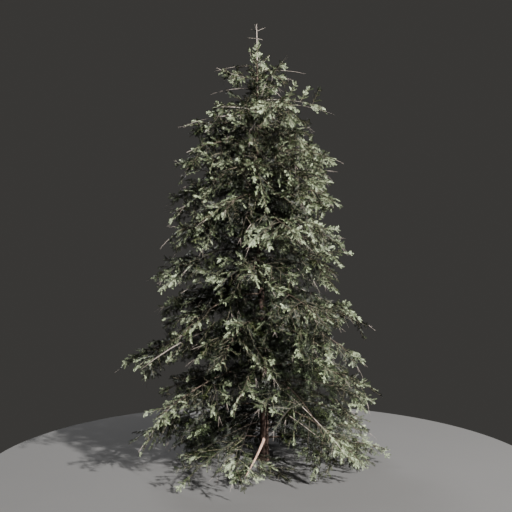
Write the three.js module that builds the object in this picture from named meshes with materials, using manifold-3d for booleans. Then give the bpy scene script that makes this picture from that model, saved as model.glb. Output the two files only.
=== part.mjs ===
// A silver fir about eight metres tall, in millimetres, +Z up, with its foot on the ground at the origin.
// A leaning trunk carries whorls of drooping boughs. Each bough's foliage is one mass: a stem whose side
// branchlets are toothed blades, every tooth standing for a spray of shoots with their needles.
import * as THREE from "three";
import { mergeVertices } from "three/addons/utils/BufferGeometryUtils.js";
import Module from "manifold-3d";

// Trunk
const TREE_HEIGHT = 8000;
const TRUNK_LEAN = -165; // how far the tip stands off the foot, along X
const TRUNK_WOBBLE = [28, 17]; // sideways swing of the trunk on its way up, along X and Y
const TRUNK_SWINGS = 1.25; // how many full swings it makes
const TRUNK_RADIUS = 78; // above the root flare
const LEADER_TIP_RADIUS = 4;
const TRUNK_TAPER = 0.85; // 1 would be a straight cone
const FLARE = 0.5; // share by which the foot is wider than the trunk
const FLARE_HEIGHT = 150;
const FLARE_LOBES = 5;
const FLARE_LOBE_DEPTH = 0.16;
const TRUNK_SIDES = 9;
const TRUNK_ROWS = 11;
const TRUNK_ROW_CROWDING = 1.7; // over 1 puts more rows near the foot

// Bare shoots round the top of the leader
const LEADER_WHORLS = [
  { below: 130, shoots: 3, length: 190, rise: 0.5, turn: 15 },
  { below: 265, shoots: 3, length: 180, rise: 0.12, turn: 50 },
];
const SHOOT_RADIUS = 5;

// Whorls, from the ground up. height is where the boughs leave the trunk, reach how far out their tips
// stand, drop how far below that height, count how many there are, and turn the first one's direction in
// degrees from +X. A limbed whorl shows its bare limbs, which are pieces of their own.
const WHORLS = [
  { height: 400, reach: 1800, drop: 220, count: 4, turn: -98, limbed: true },
  { height: 1000, reach: 2350, drop: 700, count: 5, turn: -36, limbed: true },
  { height: 1720, reach: 2250, drop: 660, count: 5, turn: -72 },
  { height: 2450, reach: 2200, drop: 680, count: 5, turn: -108 },
  { height: 3180, reach: 1950, drop: 600, count: 5, turn: -60 },
  { height: 3860, reach: 1750, drop: 500, count: 4, turn: -100 },
  { height: 4500, reach: 1700, drop: 450, count: 4, turn: -70 },
  { height: 5080, reach: 1600, drop: 350, count: 4, turn: -110 },
  { height: 5640, reach: 1500, drop: 260, count: 3, turn: -20 },
  { height: 6150, reach: 1300, drop: 140, count: 3, turn: -60 },
  { height: 6580, reach: 1050, drop: 80, count: 3, turn: -15 },
  { height: 6900, reach: 620, drop: -160, count: 3, turn: -55 },
  { height: 7250, reach: 380, drop: -200, count: 2, turn: 20 },
];
const HEIGHT_SPREAD = 290; // boughs of one whorl leave the trunk up to this far above or below it
const TOP_HEIGHT_SPREAD = 90; // the same for the short boughs at the top
const SHORT_REACH = 700; // boughs under this reach are the short ones
const TURN_SPREAD = 9; // degrees either way
const REACH_SPREAD = 0.1; // share either way

// Boughs whose tips make the crown's outline on the right and the left, with the long bare one on the left
const OUTLINE_BOUGHS = [
  { whorl: 0, bough: 1, reach: 2280, drop: 190 },
  { whorl: 1, bough: 3, reach: 2500, drop: 740 },
  { whorl: 2, bough: 1, reach: 2150, drop: 520 },
  { whorl: 2, bough: 4, reach: 2450, drop: 640 },
  { whorl: 3, bough: 1, reach: 1500, drop: 480 },
  { whorl: 3, bough: 2, reach: 2450, drop: 880 },
  { whorl: 3, bough: 4, reach: 2600, drop: 780 },
  { whorl: 4, bough: 1, reach: 1750, drop: 600 },
  { whorl: 4, bough: 3, reach: 2250, drop: 560 },
  { whorl: 5, bough: 1, reach: 1450, drop: 480 },
  { whorl: 5, bough: 3, reach: 2000, drop: 520 },
  { whorl: 6, bough: 1, reach: 1650, drop: 600 },
  { whorl: 6, bough: 3, reach: 1720, drop: 480 },
  { whorl: 7, bough: 1, reach: 1600, drop: 500 },
  { whorl: 7, bough: 3, reach: 1800, drop: 220 },
  { whorl: 8, bough: 0, reach: 1550, drop: 250 },
  { whorl: 9, bough: 2, reach: 1250, drop: 60 },
  { whorl: 10, bough: 0, reach: 1250, drop: 200 },
];

// Boughs
const START_SLOPE = 0.1; // a bough climbs a little before it droops
const SIDE_BEND = 0.05; // share of the reach by which a bough swings sideways
const LIMB_SHARE = 0.34; // how much of a limbed bough is bare
const LIMB_SIDES = 6;
const LIMB_ROWS = 2;
const BOUGH_SLENDERNESS = 125; // reach over the bough's radius at the trunk
const BOUGH_TIP_RADIUS = 4;

// Foliage
const STEM_SIDES = 3;
const STEM_ROWS = 4;
const STEM_FULLNESS = 1.2; // a three-sided stem is this much wider than the round bough it stands for
const FOLIAGE_START = { limbed: 0.4, leafy: 0.14 }; // share of the bough where the first branchlets stand
const TIP_BLADE_START = 0.62; // share of the bough where the blade at its tip begins
const SIDE_BLADES_PAST = 0.08; // how much further out the last side branchlets stand
const BRANCHLET_SPACING = 340; // between pairs along a bough
const FEWEST_PAIRS = 2;
const SIDE_STAGGER = 0.5; // share of the spacing by which the two sides are out of step
const BRANCHLET_ANGLE = 54; // degrees off the bough
const BRANCHLET_LENGTH = 0.5; // longest branchlet over the bough's reach
const LENGTH_SPREAD = 0.15; // share either way
const SWELL = [0.3, 0.72]; // stretch of a half wave that gives the branchlets' lengths along the bough
const BRANCHLET_DIP = 0.15; // slope at which a branchlet leaves its bough
const DIP_SPREAD = 0.45; // either way
const BRANCHLET_SAG = 0.3; // further droop over a branchlet's length
const SHORTEST_BRANCHLET = 150;
const TOOTH_SPACING = 300;
const MOST_TEETH = 3;
const TOOTH_REACH = 145; // how far the teeth of the shortest blade stand out
const TOOTH_GROWTH = 0.12; // and how much further for each length of blade
const NOTCH = 0.4; // width left between two teeth, over the width at a tooth
const TOOTH_SWEEP = 1.2; // how far a tooth leans forward over how far it stands out
const TOOTH_SAG = 0.15; // how far a tooth hangs over how far it stands out
const BLADE_TAPER = 0.42; // how much narrower a blade is at its tip
const SLIMMEST = 14; // what is left of a tooth that has no room
const BLADE_THICKNESS = 18;
const BLADE_THINNING = 0.6; // how much thinner a blade is at its tip
const RIDGE_HEIGHT = 0.7; // share of the thickness that lies above a blade's centre line
const BLADE_ROLL = 50; // degrees by which a side blade hangs to one side
const TIP_BLADE_ROLL = 30;

// Space between pieces
const CLEARANCE = 0.3; // between faces that meet
const TRUNK_CLEARANCE = 0.35; // a little more, because the trunk's sides are flat
const SPACE_MARGIN = 12; // how far foliage stays inside its own space
const FLATNESS = 2; // heights count this many times in the test for the nearest bough
const GROUND_CLEARANCE = 25;
const STEM_SAMPLES = 14;
const RIDGE_SAMPLES = 8; // points of a branchlet that have to lie in its bough's own space
const ROOT_SAMPLES = 2; // and how many of them at its root are let off
const SHRINK = 0.87; // step by which a blade or tooth without room gets shorter

// Which number of the seeded row each trait of a bough takes
const SEED = { turn: 1, reach: 2, height: 3, bend: 4, length: 20, roll: 40, dip: 60, tipRoll: 80 };

const BARK = { color: 0x6b5244, roughness: 0.9, metalness: 0 };
const NEEDLES = { color: 0x66735a, roughness: 0.6, metalness: 0 };

const wasm = await Module();
wasm.setup();

const UP = new THREE.Vector3(0, 0, 1);
const { degToRad, lerp, clamp } = THREE.MathUtils;

// A repeatable number from -1 to 1 for any two whole numbers.
function scatter(a, b) {
  const x = Math.sin(a * 12.9898 + b * 78.233) * 43758.5453;
  return 2 * (x - Math.floor(x)) - 1;
}

// The trunk's centre line and radius at a height.
function trunkCentre(z) {
  const share = z / TREE_HEIGHT;
  const swing = Math.sin(share * TRUNK_SWINGS * 2 * Math.PI);
  return new THREE.Vector3(TRUNK_LEAN * share + TRUNK_WOBBLE[0] * swing, TRUNK_WOBBLE[1] * swing, z);
}

function trunkRadius(z) {
  return lerp(LEADER_TIP_RADIUS, TRUNK_RADIUS, Math.pow(1 - z / TREE_HEIGHT, TRUNK_TAPER));
}

// A point so far sideways, forward and up from a curve.
function beside(curve, share, [sideways, forward, up]) {
  const tangent = curve.getTangent(share);
  const side = new THREE.Vector3().crossVectors(tangent, UP).normalize();
  const normal = new THREE.Vector3().crossVectors(side, tangent);
  const point = curve.getPoint(share);
  return point.addScaledVector(side, sideways).addScaledVector(tangent, forward).addScaledVector(normal, up);
}

// A closed geometry whose rows stand across a curve. place(share, angle) says how far a point of a row
// stands sideways, forward and up from the curve; a pointed geometry ends in one point.
function alongCurve(curve, sides, rows, pointed, place) {
  const geometry = new THREE.CylinderGeometry(pointed ? 0 : 1, 1, 1, sides, rows);
  const position = geometry.attributes.position;
  const local = new THREE.Vector3();
  for (let i = 0; i < position.count; i++) {
    local.fromBufferAttribute(position, i);
    const share = local.y + 0.5;
    const onAxis = Math.hypot(local.x, local.z) < 1e-6;
    const offset = onAxis ? [0, 0, 0] : place(share, Math.atan2(local.x, local.z));
    const point = beside(curve, share, offset);
    position.setXYZ(i, point.x, point.y, point.z);
  }
  return geometry;
}

function solidOf(geometry) {
  const bare = geometry.clone();
  bare.deleteAttribute("normal");
  bare.deleteAttribute("uv");
  const merged = mergeVertices(bare, 1e-3);
  const vertProperties = merged.attributes.position.array;
  const triVerts = new Uint32Array(merged.index.array);
  return new wasm.Manifold(new wasm.Mesh({ numProp: 3, vertProperties, triVerts }));
}

// A round limb along a curve, tapering from one radius to another.
function limbSolid(curve, sides, rows, radiusFrom, radiusTo) {
  const place = (share, angle) => {
    const radius = lerp(radiusFrom, radiusTo, share);
    return [radius * Math.sin(angle), 0, radius * Math.cos(angle)];
  };
  return solidOf(alongCurve(curve, sides, rows, false, place));
}

// The trunk, grown by a given amount all round. Its rows stay level, so that the foot is a flat cut.
function trunkSolid(grownBy) {
  const geometry = new THREE.CylinderGeometry(1, 1, 1, TRUNK_SIDES, TRUNK_ROWS);
  const position = geometry.attributes.position;
  for (let i = 0; i < position.count; i++) {
    const z = TREE_HEIGHT * Math.pow(clamp(position.getY(i) + 0.5, 0, 1), TRUNK_ROW_CROWDING);
    const angle = Math.atan2(position.getZ(i), position.getX(i));
    const lobes = 1 + FLARE_LOBE_DEPTH * Math.cos(FLARE_LOBES * angle);
    const flare = 1 + FLARE * lobes * Math.exp(-z / FLARE_HEIGHT);
    const outwards = Math.min(1, Math.hypot(position.getX(i), position.getZ(i)));
    const radius = outwards * (trunkRadius(z) * flare + grownBy);
    const centre = trunkCentre(z);
    position.setXYZ(i, centre.x + radius * Math.cos(angle), centre.y - radius * Math.sin(angle), z);
  }
  return solidOf(geometry);
}

// One of the bare shoots near the top of the leader.
function leaderShoot(whorl, n) {
  const root = trunkCentre(TREE_HEIGHT - whorl.below);
  const turn = degToRad(whorl.turn + (360 * n) / whorl.shoots);
  const out = new THREE.Vector3(Math.cos(turn), Math.sin(turn), whorl.rise).multiplyScalar(whorl.length);
  const line = new THREE.LineCurve3(root, root.clone().add(out));
  const place = (share, angle) => [SHOOT_RADIUS * Math.sin(angle), 0, SHOOT_RADIUS * Math.cos(angle)];
  return solidOf(alongCurve(line, STEM_SIDES, 1, true, place));
}

// A bough: its name, the key of its seeded traits, and its centre line from inside the trunk to its tip.
function boughOf(whorlIndex, n) {
  const whorl = WHORLS[whorlIndex];
  const own = OUTLINE_BOUGHS.find((b) => b.whorl === whorlIndex && b.bough === n);
  const key = whorlIndex * 10 + n;
  const turn = degToRad(whorl.turn + (360 * n) / whorl.count + TURN_SPREAD * scatter(key, SEED.turn));
  const reach = own ? own.reach : whorl.reach * (1 + REACH_SPREAD * scatter(key, SEED.reach));
  const drop = own ? own.drop : whorl.drop;
  const spread = reach < SHORT_REACH ? TOP_HEIGHT_SPREAD : HEIGHT_SPREAD;
  const rise = own || whorl.limbed ? 0 : spread * scatter(key, SEED.height);
  const bend = SIDE_BEND * reach * scatter(key, SEED.bend);
  const out = new THREE.Vector3(Math.cos(turn), Math.sin(turn), 0);
  const across = new THREE.Vector3(-out.y, out.x, 0);
  const start = trunkCentre(whorl.height + rise);
  const middle = start.clone().addScaledVector(out, reach / 2).addScaledVector(across, bend);
  middle.z += (reach / 2) * START_SLOPE;
  const end = start.clone().addScaledVector(out, reach);
  end.z -= drop;
  const curve = new THREE.QuadraticBezierCurve3(start, middle, end);
  return {
    name: `w${String(whorlIndex + 1).padStart(2, "0")}_${n + 1}`,
    key,
    reach,
    curve,
    limbed: Boolean(whorl.limbed),
    radius: reach / BOUGH_SLENDERNESS,
    samples: curve.getPoints(STEM_SAMPLES),
  };
}

// The stretch of a bough between two shares of it, as a curve of its own.
function stretch(curve, from, to) {
  const part = new THREE.Curve();
  part.getPoint = (share) => curve.getPoint(lerp(from, to, share));
  part.getTangent = (share) => curve.getTangent(lerp(from, to, share));
  return part;
}

function radiusAt(bough, share) {
  return lerp(bough.radius, BOUGH_TIP_RADIUS, share);
}

// The distance from a point to a bough, in which heights count more.
function distanceTo(bough, point) {
  return Math.min(
    ...bough.samples.map((s) => Math.hypot(s.x - point.x, s.y - point.y, FLATNESS * (s.z - point.z))),
  );
}

// Whether a point lies in a bough's own space: nearer that bough than any other, off the trunk and ground.
function inOwnSpace(bough, point) {
  if (point.z < GROUND_CLEARANCE) return false;
  const z = clamp(point.z, 0, TREE_HEIGHT);
  const centre = trunkCentre(z);
  const wall = trunkRadius(z) * (1 + FLARE) + SPACE_MARGIN;
  if (Math.hypot(point.x - centre.x, point.y - centre.y) < wall) return false;
  const own = distanceTo(bough, point) + 2 * SPACE_MARGIN;
  return boughs.every((other) => other === bough || distanceTo(other, point) > own);
}

// A branchlet's centre line: it leaves the bough at an angle, dips and sags towards its tip. side is -1 or
// 1, and 0 for the branchlet that carries the bough on past its tip.
function branchletCurve(bough, share, side, length, dip) {
  const start = bough.curve.getPoint(share);
  const out = bough.curve.getTangent(share);
  const across = new THREE.Vector3().crossVectors(out, UP).normalize();
  const angle = degToRad(BRANCHLET_ANGLE) * side;
  out.multiplyScalar(Math.cos(angle)).addScaledVector(across, Math.sin(angle));
  out.z -= dip;
  out.normalize();
  const middle = start.clone().addScaledVector(out, length / 2);
  const end = start.clone().addScaledVector(out, length);
  end.z -= length * BRANCHLET_SAG;
  return new THREE.QuadraticBezierCurve3(start, middle, end);
}

// An offset from a curve, turned about it.
function rolled([sideways, forward, up], roll) {
  const [c, s] = [Math.cos(roll), Math.sin(roll)];
  return [c * sideways - s * up, forward, s * sideways + c * up];
}

// A toothed blade: its ridge follows the curve, and its two edges swing out into forward-leaning teeth,
// each as far as the bough's own space lets it.
function bladeSolid(bough, curve, length, roll) {
  const teeth = clamp(Math.round(length / TOOTH_SPACING), 1, MOST_TEETH);
  const rows = 2 * teeth;
  const width = TOOTH_REACH + TOOTH_GROWTH * length;
  const place = (share, angle) => {
    const row = Math.round(share * rows);
    const thickness = BLADE_THICKNESS * (1 - BLADE_THINNING * share);
    if (Math.abs(angle) < 0.1) return rolled([0, 0, thickness * RIDGE_HEIGHT], roll);
    const edge = (out) => {
      const under = thickness * (1 - RIDGE_HEIGHT) + out * TOOTH_SAG;
      return rolled([Math.sign(angle) * out, out * TOOTH_SWEEP, -under], roll);
    };
    if (row === 0) return edge(SLIMMEST);
    let out = width * (1 - BLADE_TAPER * share) * (row % 2 ? 1 : NOTCH);
    while (out > SLIMMEST && !inOwnSpace(bough, beside(curve, share, edge(out)))) out *= SHRINK;
    return edge(Math.max(out, SLIMMEST));
  };
  return solidOf(alongCurve(curve, 3, rows, true, place));
}

// The longest blade of up to a given length whose ridge stays in the bough's own space, or none.
function branchletSolid(bough, share, side, wanted, dip, roll) {
  for (let length = wanted; length >= SHORTEST_BRANCHLET; length *= SHRINK) {
    const curve = branchletCurve(bough, share, side, length, dip);
    const ridge = curve.getPoints(RIDGE_SAMPLES).slice(ROOT_SAMPLES);
    if (ridge.every((point) => inOwnSpace(bough, point))) return bladeSolid(bough, curve, length, roll);
  }
  return null;
}

// The mass of foliage on a bough: the stem, side branchlets in staggered pairs and one past the tip.
function massSolid(bough, from) {
  const blades = [];
  const first = bough.limbed ? FOLIAGE_START.limbed : FOLIAGE_START.leafy;
  const leafy = (TIP_BLADE_START - first) * bough.reach;
  const pairs = Math.max(FEWEST_PAIRS, Math.round(leafy / BRANCHLET_SPACING));
  for (let n = 0; n < pairs; n++) {
    for (const side of [-1, 1]) {
      const trait = (seed) => scatter(bough.key, seed + 2 * n + side);
      const along = (n + (SIDE_STAGGER * (1 + side)) / 2) / pairs;
      const share = lerp(first, TIP_BLADE_START + SIDE_BLADES_PAST, along);
      const swell = Math.sin(Math.PI * lerp(...SWELL, along)) * (1 + LENGTH_SPREAD * trait(SEED.length));
      const wanted = BRANCHLET_LENGTH * bough.reach * swell;
      const dip = BRANCHLET_DIP + DIP_SPREAD * trait(SEED.dip);
      const roll = degToRad(BLADE_ROLL) * Math.sign(trait(SEED.roll) + 0.3 * side);
      blades.push(branchletSolid(bough, share, side, wanted, dip, roll));
    }
  }
  const tipLength = (1 - TIP_BLADE_START) * bough.reach;
  const tipRoll = degToRad(TIP_BLADE_ROLL) * Math.sign(scatter(bough.key, SEED.tipRoll));
  blades.push(branchletSolid(bough, TIP_BLADE_START, 0, tipLength, 0, tipRoll));

  const stem = stretch(bough.curve, from, 1);
  const stemRadius = radiusAt(bough, from) * STEM_FULLNESS;
  const bare = limbSolid(stem, STEM_SIDES, STEM_ROWS, stemRadius, BOUGH_TIP_RADIUS);
  return blades.filter((blade) => blade).reduce((mass, blade) => mass.add(blade), bare);
}

// Fusing can leave a loose scrap or seal a hollow: the scrap goes, and the hollow is filled.
function wholePiece(solid) {
  const bodies = solid.decompose().filter((b) => b.volume() > 0);
  return bodies.reduce((largest, b) => (b.volume() > largest.volume() ? b : largest));
}

function meshOf(name, solid, finish) {
  const { vertProperties, triVerts } = wholePiece(solid).getMesh();
  const geometry = new THREE.BufferGeometry();
  geometry.setAttribute("position", new THREE.BufferAttribute(vertProperties, 3));
  geometry.setIndex(new THREE.BufferAttribute(triVerts, 1));
  geometry.computeVertexNormals();
  const mesh = new THREE.Mesh(geometry, new THREE.MeshStandardMaterial(finish));
  mesh.name = name;
  return mesh;
}

function trunkMesh() {
  let trunk = trunkSolid(0);
  for (const whorl of LEADER_WHORLS) {
    for (let n = 0; n < whorl.shoots; n++) trunk = trunk.add(leaderShoot(whorl, n));
  }
  return meshOf("trunk", trunk, BARK);
}

const boughs = WHORLS.flatMap((whorl, w) => Array.from({ length: whorl.count }, (_, n) => boughOf(w, n)));
const clearOfTrunk = trunkSolid(TRUNK_CLEARANCE);
const tree = new THREE.Group();
tree.add(trunkMesh());

for (const bough of boughs) {
  let massStart = 0;
  if (bough.limbed) {
    const bare = stretch(bough.curve, 0, LIMB_SHARE);
    const limb = limbSolid(bare, LIMB_SIDES, LIMB_ROWS, bough.radius, radiusAt(bough, LIMB_SHARE));
    tree.add(meshOf(`limb_${bough.name}`, limb.subtract(clearOfTrunk), BARK));
    massStart = LIMB_SHARE + CLEARANCE / bough.curve.getLength();
  }
  const mass = massSolid(bough, massStart).subtract(clearOfTrunk);
  tree.add(meshOf(`foliage_${bough.name}`, mass, NEEDLES));
}

export default tree;
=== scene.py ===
"""A young silver fir: bark, boughs, twigs and needles grown on the solids of trunk, limbs and foliage."""

import functools
import math

import bpy
import numpy as np
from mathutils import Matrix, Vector, noise


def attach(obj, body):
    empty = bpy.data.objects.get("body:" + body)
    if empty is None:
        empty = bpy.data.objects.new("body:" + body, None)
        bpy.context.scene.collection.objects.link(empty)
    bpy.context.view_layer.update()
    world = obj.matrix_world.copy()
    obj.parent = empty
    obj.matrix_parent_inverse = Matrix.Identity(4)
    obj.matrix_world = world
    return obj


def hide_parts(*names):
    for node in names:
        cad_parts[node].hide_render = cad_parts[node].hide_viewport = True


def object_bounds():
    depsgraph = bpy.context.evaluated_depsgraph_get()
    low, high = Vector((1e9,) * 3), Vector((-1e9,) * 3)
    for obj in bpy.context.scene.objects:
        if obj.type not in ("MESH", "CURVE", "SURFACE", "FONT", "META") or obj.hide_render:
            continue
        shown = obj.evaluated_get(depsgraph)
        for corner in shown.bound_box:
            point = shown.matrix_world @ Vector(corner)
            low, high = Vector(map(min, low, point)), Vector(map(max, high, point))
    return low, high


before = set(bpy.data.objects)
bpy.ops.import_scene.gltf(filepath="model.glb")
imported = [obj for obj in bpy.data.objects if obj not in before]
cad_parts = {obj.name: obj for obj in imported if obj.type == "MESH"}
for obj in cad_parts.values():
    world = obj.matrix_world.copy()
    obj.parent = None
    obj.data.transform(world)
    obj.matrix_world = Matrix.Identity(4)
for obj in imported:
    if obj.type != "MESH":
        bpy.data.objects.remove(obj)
CAD_BOX = [list(corner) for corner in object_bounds()]

bl_info = {
    "name": "Silver fir",
    "version": (1, 0, 0),
    "blender": (4, 5, 0),
    "location": "3D View > Sidebar > Silver fir",
    "description": "Grows a young silver fir with bark, boughs, twigs and needles",
    "category": "Add Mesh",
}

UP = np.array([0.0, 0.0, 1.0])
SEED = 19
MILLIMETRE = 0.001

# The trunk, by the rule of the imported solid, in metres.
TREE_HEIGHT = 8.0
TRUNK_LEAN = -0.165
TRUNK_WOBBLE = (0.028, 0.017)
TRUNK_SWINGS = 1.25
TRUNK_RADIUS = 0.078
LEADER_TIP_RADIUS = 0.004
TRUNK_TAPER = 0.85
FLARE = 0.5
FLARE_HEIGHT = 0.15
FLARE_LOBES = 5
FLARE_LOBE_DEPTH = 0.16
TRUNK_SIDES = 64
TRUNK_ROWS = 240
TRUNK_ROW_CROWDING = 1.7
# The bark swells in a collar under each bough, by this share and over this height.
COLLAR = 0.12
COLLAR_HEIGHT = 0.05
# Its relief is long ridges and resin blisters, in waves to the metre across and along the trunk. Where the
# noise of the blisters is low the bark stays flat.
RIDGE_WAVES = (60, 9)
RIDGE_SHARE = 0.55
BLISTER_WAVES = (110, 75)
BLISTER_SHARE = 1.1
BLISTER_START = 31
FLAT_BARK = 0.1
# Above this height the trunk is the leader, with the bark of young wood and two rings of bare shoots.
LEADER_FROM = 7.3
LEADER_WHORLS = (
    {"below": 0.130, "shoots": 3, "length": 0.190, "rise": 0.5, "turn": 15},
    {"below": 0.265, "shoots": 3, "length": 0.180, "rise": 0.12, "turn": 50},
)
LEADER_SHOOT_RADII = (0.0038, 0.00228)

# The whorls: height on the trunk, the boughs' reach, drop and number, and the first one's turn in degrees.
WHORLS = (
    (0.40, 1.80, 0.22, 4, -98),
    (1.00, 2.35, 0.70, 5, -36),
    (1.72, 2.25, 0.66, 5, -72),
    (2.45, 2.20, 0.68, 5, -108),
    (3.18, 1.95, 0.60, 5, -60),
    (3.86, 1.75, 0.50, 4, -100),
    (4.50, 1.70, 0.45, 4, -70),
    (5.08, 1.60, 0.35, 4, -110),
    (5.64, 1.50, 0.26, 3, -20),
    (6.15, 1.30, 0.14, 3, -60),
    (6.58, 1.05, 0.08, 3, -15),
    (6.90, 0.62, -0.16, 3, -55),
    (7.25, 0.38, -0.20, 2, 20),
)
LIMBED_WHORLS = 2
# Boughs whose tips show on the outline have their own reach and drop.
OUTLINE_BOUGHS = {
    (0, 1): (2.28, 0.19),
    (1, 3): (2.50, 0.74),
    (2, 1): (2.15, 0.52),
    (2, 4): (2.45, 0.64),
    (3, 1): (1.50, 0.48),
    (3, 2): (2.45, 0.88),
    (3, 4): (2.60, 0.78),
    (4, 1): (1.75, 0.60),
    (4, 3): (2.25, 0.56),
    (5, 1): (1.45, 0.48),
    (5, 3): (2.00, 0.52),
    (6, 1): (1.65, 0.60),
    (6, 3): (1.72, 0.48),
    (7, 1): (1.60, 0.50),
    (7, 3): (1.80, 0.22),
    (8, 0): (1.55, 0.25),
    (9, 2): (1.25, 0.06),
    (10, 0): (1.25, 0.20),
    (11, 0): (0.68, -0.28),
    (12, 0): (0.25, -0.20),
    (12, 1): (0.16, -0.30),
}
# The front limb at the foot hangs lower and straighter than its solid: its turn, side bend and slope.
BOUGH_PATHS = {(0, 0): (-3, 0.043, -0.05)}
TURN_SPREAD = 9
REACH_SPREAD = 0.1
HEIGHT_SPREAD = 0.29
TOP_HEIGHT_SPREAD = 0.09
SHORT_REACH = 0.7
SIDE_BEND = 0.05
START_SLOPE = 0.1
TRAIT = {"turn": 1, "reach": 2, "height": 3, "bend": 4, "length": 20, "roll": 40, "dip": 60}
BOUGH_SLENDERNESS = 125
BOUGH_TIP_RADIUS = 0.004
BOUGH_ROUGHNESS = 0.10
# Boughs of another thickness than their length gives, at the root and at the tip.
BOUGH_RADII = {
    (0, 0): (0.031, 0.009),
    (1, 4): (0.007, 0.003),
    (10, 0): (0.007, 0.002),
    (12, 1): (0.004, 0.002),
}
# Boughs with other bark: pale as painted light, nearly black as painted shade, and young from this whorl up.
PALE_BOUGHS = ((0, 0),)
PAINTED_SHADE_BOUGHS = ((1, 4),)
YOUNG_WHORL = 10
# Boughs that have lost their needles along a stretch, as shares of the length.
BARE_STRETCHES = {
    (0, 0): (0.05, 0.5),
    (1, 4): (0.0, 0.45),
    (10, 0): (0.4, 1.0),
    (12, 1): (0.6, 1.0),
}

# Branchlets leave the boughs in staggered pairs, as in the solids, with one finer pair between each two.
FOLIAGE_START = (0.4, 0.14)
TIP_START = 0.62
PAST_TIP_START = 0.08
BRANCHLET_SPACING = 0.34
FEWEST_PAIRS = 2
SIDE_STAGGER = 0.5
BRANCHLET_ANGLE = math.radians(54)
BRANCHLET_LENGTH = 0.5
LENGTH_SPREAD = 0.15
SWELL = (0.3, 0.72)
BRANCHLET_DIP = 0.15
DIP_SPREAD = 0.45
BRANCHLET_SAG = 0.3
BRANCHLET_ROLL = math.radians(50)
ROLL_BY_SIDE = 0.3
FINER_BRANCHLET = 0.85
FINER_DIP = 0.38
FINER_DIP_SPREAD = 0.35
FINER_TRAIT = 0.37
# How far a branchlet's twigs reach to its side: at no length, what they gain with it and lose to its tip.
FAN_REACH = 0.145
FAN_GROWTH = 0.12
FAN_TAPER = 0.42
FULL_FAN_LENGTH = 0.4
SLIMMEST_FAN = 0.4

# Shoots on the trunk between the whorls: how many, from and to what height, their length at the tree's tip,
# what they gain for each metre below it and at most, how steeply they rise at the tip, how much they sag at
# the foot, and where their row of scattered numbers starts.
INNER_SHOOTS = (
    (104, 0.45, 6.50, 0.00, 0.400, 1.45, 0.75, 0.22, 91),
    (40, 4.30, 6.20, 0.00, 0.460, 1.40, 0.70, 1.50, 120),
    (38, 0.42, 0.95, 1.65, 0.000, 1.65, 0.75, 0.22, 110),
    (16, 1.50, 3.30, 0.00, 0.360, 2.00, 0.75, 0.30, 140),
)
# Short twigs on the trunk and on the leader, in the same columns.
TRUNK_TWIGS = (
    (170, 0.70, 7.10, 0.20, 0.022, 0.36, 0.90, 0.22, 95),
    (46, 6.20, 7.62, 0.00, 0.220, 0.38, 1.60, 0.22, 100),
)
# More of them stand high than low, each this many degrees round from the one below.
TRUNK_SHOOT_CROWDING = 0.85
TRUNK_SHOOT_TURN = 137.5
TRUNK_SHOOT_SPREAD = {"turn": 20, "length": 0.2, "rise": 0.25, "roll": 0.9}
# The front of the foot is open, and no shoot of the trunk comes down to the ground.
OPEN_FRONT = {"below": 1.15, "turn": -90, "half": 50}
LOWEST_SHOOT_TIP = 0.12

# Twigs placed one by one: the bough, the share of its length, the side, the angle in degrees, the length and
# how far it dips. They stand up from a bare bough of the crown and spread round the end of the front limb.
PLACED_TWIGS = (
    (10, 0, 0.46, 1, 25, 0.36, -1.8),
    (10, 0, 0.64, -1, 25, 0.34, -1.8),
    (10, 0, 0.82, 1, 25, 0.34, -1.8),
    (0, 0, 0.50, -1, 68, 0.42, 0.10),
    (0, 0, 0.55, 1, 62, 0.55, 0.16),
    (0, 0, 0.62, -1, 58, 0.52, 0.12),
    (0, 0, 0.70, 1, 60, 0.52, 0.10),
    (0, 0, 0.76, -1, 62, 0.48, 0.10),
    (0, 0, 0.82, 1, 48, 0.46, 0.06),
    (0, 0, 0.86, -1, 40, 0.40, 0.04),
    (0, 0, 0.93, 1, 30, 0.34, 0.02),
    (0, 0, 0.97, -1, 20, 0.30, 0.02),
)
# How far the standing ones and the spread ones are rolled to their side.
STANDING_ROLL = 1.2
SPREAD_ROLL = 0.25

# Gaps in the sprays, each open from a point to the viewer or the key light: the point and the gap's radius.
VIEWER = (-0.15, -13.0, 3.6)
KEY_LIGHT = (26.0, -23.4, 22.0)
GAPS = {
    VIEWER: (
        # The trunk's foot and the front limb.
        (0.0, -0.1, 0.35, 0.12),
        (-0.02, -0.1, 0.6, 0.14),
        (-0.25, -0.1, 0.62, 0.15),
        (-0.06, -0.5, 0.36, 0.12),
        (-0.12, -0.75, 0.32, 0.07),
        (-0.16, -1.0, 0.28, 0.055),
        (-0.21, -1.25, 0.24, 0.05),
        # The notch in the outline at the right.
        (1.54, 1.2, 2.08, 0.15),
        (1.78, 1.2, 2.07, 0.17),
        # The bare limb at the left.
        (-1.5, -0.05, 2.13, 0.05),
        (-1.68, -0.05, 2.03, 0.05),
        (-1.86, -0.05, 1.91, 0.05),
        (-2.04, -0.05, 1.78, 0.06),
        (-2.16, -0.05, 1.71, 0.07),
        (-2.26, -0.05, 1.64, 0.07),
    ),
    KEY_LIGHT: (
        # The bare limb at the left.
        (-1.6, -0.05, 2.08, 0.06),
        (-1.8, -0.05, 1.95, 0.06),
        (-2.0, -0.05, 1.81, 0.06),
        (-2.2, -0.05, 1.68, 0.06),
        # The trunk's foot and the front limb.
        (0.0, -0.25, 0.4, 0.12),
        (-0.06, -0.5, 0.36, 0.11),
        (-0.12, -0.8, 0.32, 0.1),
        (-0.2, -1.2, 0.26, 0.1),
        (-0.5, -1.25, 0.3, 0.14),
        (0.1, -1.3, 0.3, 0.14),
    ),
}
GAP_SAMPLES = (0.35, 0.5, 0.65, 0.8, 1.0)

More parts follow.
